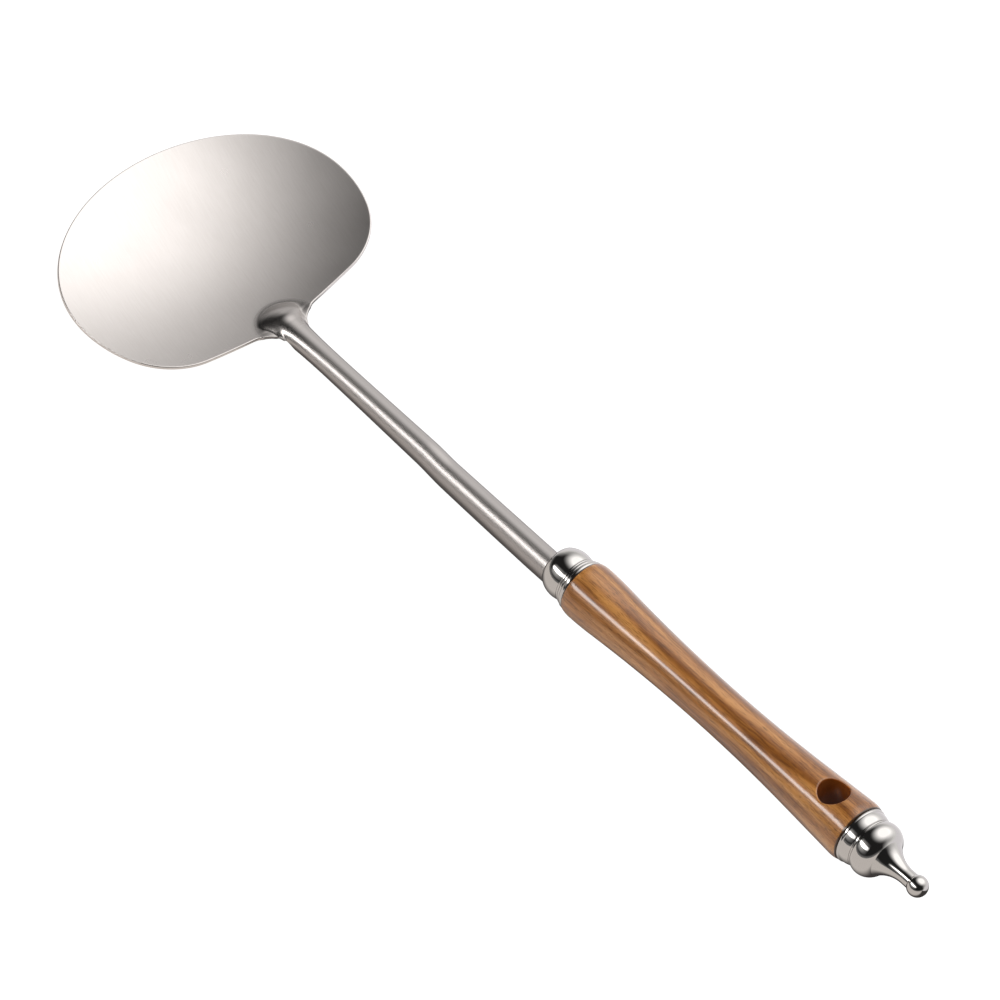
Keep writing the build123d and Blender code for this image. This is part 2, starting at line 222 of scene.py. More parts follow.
neck_widening, neck_fade = 1.6, 10.7
neck_end_x, straight_x, shaft_end_x = 14.0, 125.4, 139.5
fan_length, edge_spread_share, share_rounding = 3.7, 0.95, 0.003
fold_from_x, fold_to_x = -4.0, 2.0
wing_from_x, wing_to_x, wing_from_v = -1.0, 9.5, 0.4

sheet_reach = blade_width / 2 + 4.0  # the sheet's coordinates run on past the blade's edge
widest_x = -blade_back
rear_offset = rear_edge_x * math.cos(rear_edge_slant)
flare_y = shaft_r_front + flare_r
flare_x = (rear_offset + flare_r - math.sin(rear_edge_slant) * flare_y) / math.cos(rear_edge_slant)
join_x = -0.8  # station where the dish's round grid meets the shaft's straight one


def ease(share):
    """Smooth step from 0 to 1."""
    share = np.clip(share, 0, 1)
    return share * share * (3 - 2 * share)


def dish_top(x, y):
    """Upper surface of the dish with its nose, whose crease is rounded a little."""
    rise = (x - widest_x) ** 2 / (2 * dish_length_r) + y**2 / (2 * dish_width_r)
    narrowed = ease((x - nose_narrows_from) / (nose_narrows_to - nose_narrows_from))
    half_width = nose_half_width - nose_narrowing * narrowed
    inside = 1 - (np.minimum(x, 0) / nose_length) ** 2 - (y / half_width) ** 2
    swell = nose_height * (inside + np.sqrt(inside**2 + nose_crease**2)) / 2
    return dish_level + rise - math.tan(blade_pitch) * (x - widest_x) + swell


def sheet_top(x, v):
    """Upper surface of the sheet: v runs from -1 at one edge to 1 at the other.

    Over the neck the edge follows the flare's arc. The sheet lies flat sooner at its edges,
    which leave the shaft as two wings, than in the middle, where the nose runs into it."""
    run = np.clip(x / straight_x, 0, 1)
    radius = shaft_r_front + (shaft_r_rear - shaft_r_front) * run
    half_width = radius + neck_widening * np.exp(-np.maximum(x, 0) / neck_fade)
    centre = -shaft_drop_front - (shaft_drop_rear - shaft_drop_front - step_drop) * run
    centre = centre - step_drop * ease((x - step_x) / step_length)
    wrap = wrap_front + (wrap_rear - wrap_front) * ease(x / straight_x)
    rolled_y = half_width * np.sin(wrap)
    back = flare_x - np.clip(x, join_x, flare_x)
    share = (flare_y - np.sqrt(flare_r**2 - back**2) - rolled_y) / (sheet_reach - rolled_y)
    share = (share + np.sqrt(share**2 + share_rounding**2)) / 2
    past = np.clip((join_x - x) / fan_length, 0, 1)
    opening = (flare_x - join_x) / math.sqrt(flare_r**2 - (flare_x - join_x) ** 2) / sheet_reach
    share = share + (1 - share) * ease(past) + opening * fan_length * past * (1 - past) ** 2
    wing = ease((np.abs(v) - wing_from_v) / (1 - wing_from_v))
    rolled_x = fold_to_x + (wing_to_x - fold_to_x) * wing
    flat_x = fold_from_x + (wing_from_x - fold_from_x) * wing
    flat = ease((rolled_x - x) / (rolled_x - flat_x))
    wide = sheet_reach * ((1 - edge_spread_share) * v + edge_spread_share * v**3)
    y = (1 - share) * half_width * np.sin(wrap * v) + share * wide
    return y, (1 - flat) * (centre + radius * np.cos(wrap * v)) + flat * dish_top(x, y)


def sheet_height(x, y):
    """Height of the upper surface over a point in plan, by halving the range of v."""
    low, high = np.zeros_like(x), np.ones_like(x)
    for _ in range(30):
        middle = (low + high) / 2
        outside = sheet_top(x, middle)[0] > np.abs(y)
        high = np.where(outside, middle, high)
        low = np.where(outside, low, middle)
    return sheet_top(x, low)[1]


def arc_round(centre, radius, start, end, count):
    """Points of an arc in plan, with the outward direction at each."""
    turn = np.linspace(start, end, count)[:, None]
    outward = np.hstack((np.cos(turn), np.sin(turn)))
    return np.asarray(centre) + radius * outward, outward


# Half of the outline, from the neck by the rear edge and the side to the tip. The sheet's
# upper edge stands back from it, as far as the rounded wall under it leans out.
flare_count, rear_count, shoulder_count, side_count, front_count = 14, 26, 34, 32, 86
slope_step, edge_step = 0.01, 0.001
side = np.array((widest_x, blade_width / 2 - side_arc_r))
normal = np.array((math.cos(rear_edge_slant), math.sin(rear_edge_slant)))
inset = rear_offset - shoulder_arc_r - normal @ side
shoulder = side + normal * inset + np.array((-normal[1], normal[0])) * math.sqrt(
    (side_arc_r - shoulder_arc_r) ** 2 - inset**2)
meeting = math.atan2(shoulder[1] - side[1], shoulder[0] - side[0])
flare_start = math.asin((flare_x - join_x) / (flare_r + edge_r))
turn = np.linspace(flare_start, math.pi / 2 - rear_edge_slant, flare_count)
flare_out = np.stack((np.sin(turn), np.cos(turn)), 1)
flare_path = np.array((flare_x, flare_y)) - flare_r * flare_out
shoulder_path, shoulder_out = arc_round(
    shoulder, shoulder_arc_r, rear_edge_slant, meeting, shoulder_count)
rear_share = np.linspace(0, 1, rear_count)[1:-1, None]
rear_path = flare_path[-1] + (shoulder_path[0] - flare_path[-1]) * rear_share
rear_out = np.repeat(normal[None], len(rear_path), 0)
side_path, side_out = arc_round(side, side_arc_r, meeting, math.pi / 2, side_count)
turn = np.linspace(0, math.pi / 2, front_count)[1:]
front_path = np.stack((widest_x - blade_front * np.sin(turn), blade_width / 2 * np.cos(turn)), 1)
front_out = np.stack((-blade_width / 2 * np.sin(turn), blade_front * np.cos(turn)), 1)
front_out /= np.linalg.norm(front_out, axis=1)[:, None]
path = np.concatenate((flare_path, rear_path, shoulder_path, side_path[1:], front_path))
outward = np.concatenate((flare_out, rear_out, shoulder_out, side_out[1:], front_out))
ahead = path + outward * slope_step
slope = np.arctan((sheet_height(*ahead.T) - sheet_height(*path.T)) / slope_step)
half = path - outward * (edge_r + (sheet - edge_r) * np.maximum(np.sin(slope), 0))[:, None]
half[0, 0], half[-1, 1] = join_x, 0
outline = np.concatenate((half, (half * (1, -1))[-2::-1]))

# The shaft's grid: rows of points across the sheet at stations along it. Its first row
# lies on the dish, between the two ends of the outline.
across_count, neck_rows, middle_rows, step_rows, end_rows = 60, 75, 56, 24, 24
stations = np.concatenate((
    np.linspace(join_x, neck_end_x, neck_rows),
    np.linspace(neck_end_x, step_x, middle_rows)[1:],
    np.linspace(step_x, step_x + step_length, step_rows)[1:],
    np.linspace(step_x + step_length, shaft_end_x - edge_r, end_rows)[1:]))
grid_x, grid_u = np.meshgrid(stations, np.linspace(-1, 1, across_count + 1), indexing="ij")
near_edge, edge = sheet_top(stations, 1 - edge_step), sheet_top(stations, 1.0)
edge_v = 1 - edge_r * edge_step / np.hypot(edge[0] - near_edge[0], edge[1] - near_edge[1])
shaft_y, shaft_z = sheet_top(grid_x, edge_v[:, None] * grid_u)
shaft_y[0] *= half[0, 1] / shaft_y[0, -1]
shaft_z[0] = sheet_height(grid_x[0], shaft_y[0])

# The dish's grid: rings that grow from its middle to the outline, closer near the edge.
middle = np.array((widest_x, 0.0))
close_from, inner_rings, outer_rings = 0.66, 18, 66
ring_share = np.concatenate((
    np.linspace(0, close_from, inner_rings)[1:], np.linspace(close_from, 1, outer_rings)[1:]))
loop = np.concatenate((outline, np.stack((grid_x[0], shaft_y[0]), 1)[1:-1]))
rings = middle + ring_share[:, None, None] * (loop - middle)[None]
dish_xy = np.concatenate((middle[None], rings.reshape(-1, 2)))
dish_points = np.column_stack((dish_xy, sheet_height(*dish_xy.T)))
shaft_points = np.stack((grid_x, shaft_y, shaft_z), -1)[1:].reshape(-1, 3)
top_points = np.concatenate((dish_points, shaft_points))


def band(first, second, closed):
    """Four-sided faces between two rows of points."""
    corners = np.stack((first, second, np.roll(second, -1), np.roll(first, -1)), 1)
    return [tuple(face) for face in (corners if closed else corners[:-1]).tolist()]


loop_count, outline_count = len(loop), len(outline)
ring_ids = 1 + np.arange(len(ring_share) * loop_count).reshape(-1, loop_count)
faces = [(0, *pair) for pair in np.stack((ring_ids[0], np.roll(ring_ids[0], -1)), 1).tolist()]
for inner, outer in zip(ring_ids, ring_ids[1:]):
    faces += band(inner, outer, True)
join_ids = np.concatenate((ring_ids[-1, outline_count - 1:], ring_ids[-1, :1]))
row_ids = np.concatenate((
    join_ids[None], len(dish_points) + np.arange(len(shaft_points)).reshape(-1, across_count + 1)))
for near, far in zip(row_ids, row_ids[1:]):
    faces += band(near, far, False)

# The edge runs round the outline, along one side of the shaft, across its end and back.
# A wall with rounded corners joins the sheet's two faces along it.
edge_ids = np.concatenate((
    ring_ids[-1, :outline_count], row_ids[1:, 0], row_ids[-1, 1:], row_ids[-2:0:-1, -1]))
top_mesh = bpy.data.meshes.new("sheet_top")
top_mesh.from_pydata(top_points.tolist(), [], faces)
normals = np.zeros(len(top_points) * 3, np.float32)
top_mesh.vertices.foreach_get("normal", normals)
bpy.data.meshes.remove(top_mesh)
normals = normals.reshape(-1, 3).astype(float)
normals *= np.sign(normals[0, 2])
edge_points, edge_normals = top_points[edge_ids], normals[edge_ids]
lean = np.cross(np.roll(edge_points, -1, 0) - np.roll(edge_points, 1, 0), edge_normals)
lean /= np.linalg.norm(lean, axis=1)[:, None]
lean *= -np.sign(lean[outline_count // 2, 0])
wall_rows = []
for depth, angles in ((edge_r, (60, 30, 0)), (sheet - edge_r, (0, -30, -60))):
    for turn in map(math.radians, angles):
        wall_rows.append(edge_points - depth * edge_normals
                         + edge_r * (math.cos(turn) * lean + math.sin(turn) * edge_normals))
all_points = np.concatenate((top_points, top_points - sheet * normals, *wall_rows))
count, edge_count = len(top_points), len(edge_ids)
faces += [tuple(i + count for i in reversed(face)) for face in faces]
wall_ids = 2 * count + np.arange(len(wall_rows) * edge_count).reshape(-1, edge_count)
wall_ids = [edge_ids, *wall_ids, edge_ids + count]
for upper, lower in zip(wall_ids, wall_ids[1:]):
    faces += band(upper, lower, True)
placed = np.array(neck) + all_points @ np.array((along, sideways, upright)) * MM
blade_mesh = bpy.data.meshes.new("blade_and_shaft_sheet")
blade_mesh.from_pydata(placed.tolist(), [], faces)


def face_outwards(mesh, sharp_angle=math.pi):
    """Turns the faces of a closed mesh outwards, and shades it smooth up to an angle."""
    form = bmesh.new()
    form.from_mesh(mesh)
    bmesh.ops.recalc_face_normals(form, faces=form.faces)
    for face in form.faces:
        face.smooth, face.material_index = True, 0
    for edge in form.edges:
        edge.smooth = edge.calc_face_angle(0) < sharp_angle
    form.to_mesh(mesh)
    form.free()


face_outwards(blade_mesh)
blade = bpy.data.objects.new("blade_and_shaft_sheet", blade_mesh)
bpy.context.scene.collection.objects.link(blade)

# Stainless steel: the dish is brushed with a fine belt, which gives a soft satin sheen
# with faint short scratches. The nose and the shaft are unscratched: smooth at the nose,
# so that it shows hard darks, and more matt along the shaft. Their darker colour is
# painted shade, which dims their reflections.
steel, tree = new_material("stainless_steel_brushed")


def tool_frame(tree):
    """Coordinates along, across and above the handle axis, counted from the neck."""
    return add(tree, "ShaderNodeMapping", {
        "Vector": add(tree, "ShaderNodeTexCoord").outputs["Object"],
        "Location": neck, "Rotation": (0, -tilt, 0)}, vector_type="TEXTURE")


at = tool_frame(tree)
# Scratches 7 mm long and 0.5 mm apart: the real ones are finer than the picture shows.
scratch_frame = add(tree, "ShaderNodeMapping", {
    "Vector": at, "Rotation": (0, 0, math.radians(-13)),
    "Scale": (7 * MM, 0.5 * MM, 3 * MM)}, vector_type="TEXTURE")
scratches = add(tree, "ShaderNodeTexNoise", {
    "Vector": scratch_frame, "Scale": 1.0, "Detail": 3.0, "Roughness": 0.6})
patches = add(tree, "ShaderNodeTexNoise", {"Vector": at, "Scale": 1 / (25 * MM), "Detail": 3.0})
# 1 on the nose and along the shaft, 0 on the dish.
nose_at = add(tree, "ShaderNodeMapping", {
    "Vector": at, "Scale": (1 / (nose_length * MM), 1 / (nose_half_width * MM), 0)})
nose_x, nose_y, _ = add(tree, "ShaderNodeSeparateXYZ", {0: nose_at}).outputs
ahead_only = add(tree, "ShaderNodeMath", {0: nose_x, 1: 0.0}, operation="MINIMUM")
nose_flat = add(tree, "ShaderNodeCombineXYZ", {"X": ahead_only, "Y": nose_y})
off_nose = add(tree, "ShaderNodeVectorMath", {0: nose_flat}, operation="LENGTH")
formed_and_painted_dark = add(tree, "ShaderNodeMapRange", {
    "Value": off_nose, "From Min": 1.0, "From Max": 1.25, "To Min": 1.0, "To Max": 0.0},
    interpolation_type="SMOOTHSTEP")
satin = add(tree, "ShaderNodeMapRange", {
    "Value": patches, "From Min": 0.3, "From Max": 0.7, "To Min": 0.27, "To Max": 0.32})
station = add(tree, "ShaderNodeSeparateXYZ", {0: at}).outputs["X"]
formed_rough = add(tree, "ShaderNodeMapRange", {
    "Value": station, "From Min": 0.0, "From Max": 20 * MM, "To Min": 0.23, "To Max": 0.40})
roughness = add(tree, "ShaderNodeMix", {
    "Factor": formed_and_painted_dark, "A": satin, "B": formed_rough}, data_type="FLOAT")
# Some places, 33 mm across, are more scratched than others.
worn = add(tree, "ShaderNodeTexNoise", {"Vector": at, "Scale": 30.0, "Detail": 1.0})
worn_depth = add(tree, "ShaderNodeMapRange", {
    "Value": worn, "From Min": 0.4, "From Max": 0.65, "To Min": 0.03, "To Max": 0.12})
scratch_depth = add(tree, "ShaderNodeMix", {
    "Factor": formed_and_painted_dark, "A": worn_depth, "B": 0.0}, data_type="FLOAT")
relief = add(tree, "ShaderNodeBump", {
    "Strength": scratch_depth, "Distance": 0.02 * MM, "Height": scratches})
brushed_tone = add(tree, "ShaderNodeMix", {
    "Factor": scratches, "A": colour("#D3CECB"), "B": colour("#DFDBD9")}, data_type="RGBA")
# Painted shade: the nose and the shaft get a darker copy of the steel's colour.
sheet_tone_with_painted_shade = add(tree, "ShaderNodeMix", {
    "Factor": formed_and_painted_dark, "A": brushed_tone, "B": colour("#B4B0AE")}, data_type="RGBA")
steel_shader = add(tree, "ShaderNodeBsdfPrincipled", {
    "Base Color": sheet_tone_with_painted_shade, "Metallic": 1.0, "Roughness": roughness, "Normal": relief})
add(tree, "ShaderNodeOutputMaterial", {0: steel_shader})
blade_mesh.materials.append(steel)
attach(blade, "root")
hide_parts("blade_and_shaft")


# Front ferrule: brass turned on a lathe and chrome-plated. A ball with a rounded mouth
# takes the shaft, and two thin rings and a flange close it against the wood.
joint_x = 146.9
mouth_x, mouth_rounding = 134.2, 1.2
ball_x, ball_r, ball_end_x = 140.3, 9.1, 143.1
ring_1_x, ring_1_r, ring_1_width = 143.4, 8.9, 0.7
ring_2_x, ring_2_r, ring_2_width = 144.4, 9.25, 0.9
flange_x, flange_r = 145.6, 9.7
ring_groove = 0.35
lathe_segments, lathe_crease = 160, math.radians(32)


def arc_points(centre_x, radius, start, end, count):
    """Points of a profile's arc about a point on the axis. Angles are in degrees."""
    return [(centre_x + radius * math.cos(math.radians(turn)), radius * math.sin(math.radians(turn)))
            for turn in np.linspace(start, end, count)]


def bead_points(start, end, radius, crown):
    """A turned ring's top: rounded corners and a slightly crowned land between them."""
    return [(start + (end - start) * (1 - math.cos(math.pi * t)) / 2,
             radius - crown * abs(math.cos(math.pi * t)) ** 3) for t in np.linspace(0, 1, 11)]


def swept_to(point, crown, count):
    """Arc from a crown or hollow, where it runs level, to a point."""
    run, drop = point[0] - crown[0], point[1] - crown[1]
    radius = (run**2 + drop**2) / (2 * abs(drop))
    turn = math.asin(min(abs(run) / radius, 1))
    return [(crown[0] + math.copysign(radius * math.sin(turn * t), run),
             crown[1] + math.copysign(radius * (1 - math.cos(turn * t)), drop))
            for t in np.linspace(0, 1, count)]


# Geometry Nodes lathe: turns a profile, drawn in the mesh as points (along, 0, radius),
# round the handle axis, sets it on that axis and marks edges past the crease angle.
lathe = bpy.data.node_groups.new("turned_on_the_handle_axis", "GeometryNodeTree")
lathe_inputs = {}
for name, kind, value in (
        ("Profile", "NodeSocketGeometry", None),
        ("Segments", "NodeSocketInt", lathe_segments),
        ("Crease Angle", "NodeSocketFloat", lathe_crease),
        ("Axis Origin", "NodeSocketVector", neck),
        ("Axis Tilt", "NodeSocketFloat", tilt),
        ("Material", "NodeSocketMaterial", None)):
    socket = lathe.interface.new_socket(name, in_out="INPUT", socket_type=kind)
    if value is not None:
        socket.default_value = value
    lathe_inputs[name] = socket.identifier
lathe.interface.new_socket("Turned", in_out="OUTPUT", socket_type="NodeSocketGeometry")
given = add(lathe, "NodeGroupInput").outputs
size = add(lathe, "GeometryNodeAttributeDomainSize", {0: given["Profile"]}, component="MESH")
columns = add(lathe, "ShaderNodeMath", {0: given["Segments"], 1: 1.0}, operation="ADD")
grid = add(lathe, "GeometryNodeMeshGrid", {
    "Vertices X": size.outputs["Point Count"], "Vertices Y": columns})
index = add(lathe, "GeometryNodeInputIndex")
half_past = add(lathe, "ShaderNodeMath", {0: index, 1: 0.5}, operation="ADD")
rows = add(lathe, "ShaderNodeMath", {0: half_past, 1: columns}, operation="DIVIDE")
row = add(lathe, "ShaderNodeMath", {0: rows}, operation="FLOOR")
before = add(lathe, "ShaderNodeMath", {0: row, 1: columns}, operation="MULTIPLY")
column = add(lathe, "ShaderNodeMath", {0: index, 1: before}, operation="SUBTRACT")
part_turn = add(lathe, "ShaderNodeMath", {0: column, 1: given["Segments"]}, operation="DIVIDE")
angle = add(lathe, "ShaderNodeMath", {0: part_turn, 1: 2 * math.pi}, operation="MULTIPLY")
profile_point = add(lathe, "GeometryNodeSampleIndex", {
    "Geometry": given["Profile"], "Value": add(lathe, "GeometryNodeInputPosition"),
    "Index": row}, data_type="FLOAT_VECTOR", domain="POINT")
profile_x, _, profile_r = add(lathe, "ShaderNodeSeparateXYZ", {0: profile_point}).outputs
cosine = add(lathe, "ShaderNodeMath", {0: angle}, operation="COSINE")
sine = add(lathe, "ShaderNodeMath", {0: angle}, operation="SINE")
turned_y = add(lathe, "ShaderNodeMath", {0: profile_r, 1: cosine}, operation="MULTIPLY")
turned_z = add(lathe, "ShaderNodeMath", {0: profile_r, 1: sine}, operation="MULTIPLY")
turned_at = add(lathe, "ShaderNodeCombineXYZ", {"X": profile_x, "Y": turned_y, "Z": turned_z})
wrapped = add(lathe, "GeometryNodeSetPosition", {
    "Geometry": grid.outputs["Mesh"], "Position": turned_at})
welded = add(lathe, "GeometryNodeMergeByDistance", {"Geometry": wrapped, "Distance": 0.0005 * MM})
edge_angle = add(lathe, "GeometryNodeInputMeshEdgeAngle").outputs["Unsigned Angle"]
crease = add(lathe, "FunctionNodeCompare", {
    "A": edge_angle, "B": given["Crease Angle"]}, data_type="FLOAT", operation="LESS_THAN")
smooth = add(lathe, "GeometryNodeSetShadeSmooth", {"Geometry": welded, "Shade Smooth": True})
creased = add(lathe, "GeometryNodeSetShadeSmooth", {
    "Geometry": smooth, "Shade Smooth": crease}, domain="EDGE")
turn_down = add(lathe, "ShaderNodeMath", {0: given["Axis Tilt"], 1: -1.0}, operation="MULTIPLY")
turn_up = add(lathe, "ShaderNodeCombineXYZ", {"Y": turn_down})
on_axis = add(lathe, "GeometryNodeTransform", {
    "Geometry": creased, "Translation": given["Axis Origin"], "Rotation": turn_up})
dressed = add(lathe, "GeometryNodeSetMaterial", {"Geometry": on_axis, "Material": given["Material"]})
add(lathe, "NodeGroupOutput", {0: dressed})


def turned(name, profile, material):
    """A lathe-turned piece from its profile in mm, as a plain mesh."""
    line = bpy.data.meshes.new(name + "_profile")
    steps = [(i, i + 1) for i in range(len(profile) - 1)]
    line.from_pydata([(x * MM, 0, r * MM) for x, r in profile], steps, [])
    piece = bpy.data.objects.new(name, line)
    bpy.context.scene.collection.objects.link(piece)
    modifier = piece.modifiers.new("lathe", "NODES")
    modifier.node_group = lathe
    modifier[lathe_inputs["Segments"]] = lathe_segments
    modifier[lathe_inputs["Material"]] = material
    bpy.context.view_layer.update()
    evaluated = piece.evaluated_get(bpy.context.evaluated_depsgraph_get())
    mesh = bpy.data.meshes.new_from_object(evaluated)
    piece.modifiers.clear()
    piece.data = mesh
    bpy.data.meshes.remove(line)
    mesh.name = name
    mesh.materials.clear()
    mesh.materials.append(material)
    face_outwards(mesh, lathe_crease)
    return piece


# Chrome plate over polished brass: a hard grey mirror that shows the studio's lights
# and dark walls, softened only a little by fine polishing haze.
chrome, tree = new_material("chrome_plate_polished")
at = tool_frame(tree)
haze = add(tree, "ShaderNodeTexNoise", {"Vector": at, "Scale": 260.0, "Detail": 3.0})
chrome_rough = add(tree, "ShaderNodeMapRange", {
    "Value": haze, "From Min": 0.35, "From Max": 0.7, "To Min": 0.05, "To Max": 0.09})
# Ripples 0.7 mm across, left by polishing under the plate.
ripple = add(tree, "ShaderNodeTexNoise", {"Vector": at, "Scale": 1 / (0.7 * MM), "Detail": 2.0})
chrome_relief = add(tree, "ShaderNodeBump", {
    "Strength": 0.05, "Distance": 0.02 * MM, "Height": ripple})
chrome_shader = add(tree, "ShaderNodeBsdfPrincipled", {
    "Base Color": colour("#C8C6C4"), "Metallic": 1.0, "Roughness": chrome_rough,
    "Normal": chrome_relief})
add(tree, "ShaderNodeOutputMaterial", {0: chrome_shader})

mouth_r = math.sqrt(ball_r**2 - (ball_x - mouth_x) ** 2)
rounded_turn = math.degrees(math.atan2(mouth_r, mouth_x - ball_x) - mouth_rounding / ball_r)
ball_start = arc_points(ball_x, ball_r, rounded_turn, rounded_turn, 1)[0]
mouth_round = [
    ((1 - t**2) * mouth_x + t**2 * ball_start[0],
     (1 - t) ** 2 * (mouth_r - mouth_rounding) + 2 * t * (1 - t) * mouth_r + t**2 * ball_start[1])
    for t in np.linspace(0, 1, 9)]
ball_stop = math.degrees(math.acos((ball_end_x - ball_x) / ball_r))
ferrule_end_x = joint_x - 0.05
groove_1_r, groove_2_r = ring_1_r - ring_groove, ring_2_r - ring_groove
ferrule_profile = [(mouth_x, 0), (mouth_x, mouth_r / 2)] + mouth_round
ferrule_profile += arc_points(ball_x, ball_r, rounded_turn, ball_stop, 46)[1:]
ferrule_profile += [(ball_end_x, groove_1_r), (ring_1_x, groove_1_r)]
ferrule_profile += bead_points(ring_1_x, ring_1_x + ring_1_width, ring_1_r, 0.16)
ferrule_profile += [(ring_1_x + ring_1_width, groove_1_r), (ring_2_x, groove_1_r)]
ferrule_profile += bead_points(ring_2_x, ring_2_x + ring_2_width, ring_2_r, 0.18)
ferrule_profile += [(ring_2_x + ring_2_width, groove_2_r), (flange_x, groove_2_r)]
ferrule_profile += bead_points(flange_x, ferrule_end_x, flange_r + 0.05, 0.2)
ferrule_profile += [(ferrule_end_x, 8.5), (ferrule_end_x, 0)]
ferrule = turned("ferrule_turned", ferrule_profile, chrome)
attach(ferrule, "root")
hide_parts("front_ferrule")


# Grip: one piece of straight-grained hardwood, turned, cross-drilled near its end and
# dipped in clear gloss lacquer. It is held between the ferrule and the end finial.
grip_front_r, swell_x, swell_r = 9.95, 150.5, 10.45
waist_x, waist_r = 212.0, 8.22
front_hollow_share, rear_hollow_share = 0.834, 0.3225
rear_swell_x, rear_swell_r = 280.0, 11.28
grip_end_x, grip_end_r = 283.8, 10.8
hole_x, hole_r, hole_lip = 270.3, 5.5, 0.75
window_half_length, window_half_width, lip_crease = 7.9, 8.1, math.radians(40)
joint_gap = 0.02

turn_x = waist_x - (waist_x - swell_x) * front_hollow_share
turn_r = waist_r + (swell_r - waist_r) * front_hollow_share
meets_x = waist_x + (rear_swell_x - waist_x) * rear_hollow_share
rear_flare = math.atan((rear_swell_r - waist_r) / (rear_swell_x - meets_x))
flare_from_x = meets_x + (meets_x - waist_x) * math.cos(rear_flare)
flare_from_r = waist_r + (meets_x - waist_x) * math.sin(rear_flare)
end_run, end_drop = grip_end_x - rear_swell_x, grip_end_r - rear_swell_r
end_turn = 2 * (rear_flare - math.atan2(end_drop, end_run))
end_radius = math.hypot(end_run, end_drop) / (2 * math.sin(end_turn / 2))

# The profile with a small groove at each end, where the wood is cut back at the chrome.
front_end = [(joint_x + joint_gap, 0), (joint_x + joint_gap, 8.0),
             (joint_x + joint_gap, grip_front_r - 0.7),
             (joint_x + 0.22, grip_front_r - 0.35), (joint_x + 0.34, grip_front_r - 0.08)]
skin = swept_to((joint_x + 0.55, grip_front_r + 0.1), (swell_x, swell_r), 14)[::-1]
skin += swept_to((turn_x, turn_r), (swell_x, swell_r), 9)[1:]
skin += swept_to((turn_x, turn_r), (waist_x, waist_r), 34)[-2::-1]
skin += swept_to((flare_from_x, flare_from_r), (waist_x, waist_r), 26)[1:]
skin += [(flare_from_x + (rear_swell_x - flare_from_x) * t,
          flare_from_r + (rear_swell_r - flare_from_r) * t) for t in np.linspace(0, 1, 41)[1:]]
skin += [(rear_swell_x + end_radius * (math.sin(rear_flare) + math.sin(t - rear_flare)),
          rear_swell_r - end_radius * (math.cos(rear_flare) - math.cos(t - rear_flare)))
         for t in np.linspace(0, end_turn, 12)[1:-1]]
rear_end = [(grip_end_x - 0.22, grip_end_r - 0.3), (grip_end_x - joint_gap, grip_end_r - 0.7),
            (grip_end_x - joint_gap, 7.0), (grip_end_x - joint_gap, 0)]
skin_x, skin_r = zip(*skin)

wood, wood_tree = new_material("hardwood_clear_lacquered")
grip = turned("grip_turned", front_end + skin + rear_end, wood)

# The hole: a window is cut in the turned skin above and below, and filled by rings that
# run in to the bore's round lip. The bore's wall joins the two lips.
form = bmesh.new()
form.from_mesh(grip.data)


def in_tool_frame(point):
    """A point in mm along, across and above the handle axis."""
    offset = (point - neck) / MM
    return offset.dot(along), offset.dot(sideways), offset.dot(upright)


def out_of_tool_frame(x, y, z):
    """The place of such a point."""
    return neck + (along * x + sideways * y + upright * z) * MM


def skin_height(x, y):
    """Height of the turned skin above the axis."""
    return math.sqrt(np.interp(x, skin_x, skin_r) ** 2 - y**2)


window = []
for face in form.faces:
    x, y, z = in_tool_frame(face.calc_center_median())
    if abs(x - hole_x) < window_half_length and abs(y) < window_half_width:
        window.append(face)
bmesh.ops.delete(form, geom=window, context="FACES")
open_points = {point for edge in form.edges if len(edge.link_faces) == 1 for point in edge.verts}
bore_edges = []
lip_r = hole_r + hole_lip
for way in (1, -1):
    rim = {}
    for point in open_points:
        x, y, z = in_tool_frame(point.co)
        if z * way > 0:
            rim[math.atan2(y, x - hole_x)] = (point, x, y)
    turns = sorted(rim)
    layers = []
    for t in (0.25, 0.5, 0.7, 0.87, 1.0):
        layer = []
        for turn in turns:
            x = rim[turn][1] + (hole_x + lip_r * math.cos(turn) - rim[turn][1]) * t
            y = rim[turn][2] + (lip_r * math.sin(turn) - rim[turn][2]) * t
            layer.append((x, y, way * skin_height(x, y)))
        layers.append(layer)
    for t in np.linspace(0, 1, 8)[1:]:
        layer = []
        for turn in turns:
            c, s = math.cos(turn), math.sin(turn)
            radius = hole_r + hole_lip * (1 - t) ** 2
            corner = skin_height(hole_x + hole_r * c, hole_r * s)
            height = (1 - t) ** 2 * skin_height(hole_x + lip_r * c, lip_r * s) + 2 * t * (1 - t) * corner
            height += t**2 * (corner - hole_lip)
            layer.append((hole_x + radius * c, radius * s, way * height))
        layers.append(layer)
    lip_end = layers[-1]
    for share in (0.8, 0.6, 0.4, 0.2):
        layers.append([(x, y, z * share) for x, y, z in lip_end])
    previous = [rim[turn][0] for turn in turns]
    for layer in layers:
        ring = [form.verts.new(out_of_tool_frame(*point)) for point in layer]
        for j in range(len(ring)):
            k = (j + 1) % len(ring)
            form.faces.new((previous[j], previous[k], ring[k], ring[j]))
        previous = ring
    bore_edges += [form.edges.get((previous[j], previous[j - 1])) for j in range(len(previous))]
bmesh.ops.bridge_loops(form, edges=bore_edges)
form.to_mesh(grip.data)
form.free()
face_outwards(grip.data, lip_crease)

# Clear-lacquered hardwood of the oak and chestnut kind: tan, with growth bands, darker
# lengthwise streaks and short pores, under a clear coat that gives bright highlights.
tree = wood_tree
at = tool_frame(tree)


def grain(length, width, detail, shift):
    """Noise drawn out along the grip, with features of a length and width in mm."""
    drawn_out = add(tree, "ShaderNodeMapping", {
        "Vector": at, "Location": (shift * MM, shift * MM, 0),
        "Scale": (length * MM, width * MM, width * MM)}, vector_type="TEXTURE")
    return add(tree, "ShaderNodeTexNoise", {
        "Vector": drawn_out, "Scale": 1.0, "Detail": detail, "Roughness": 0.55})


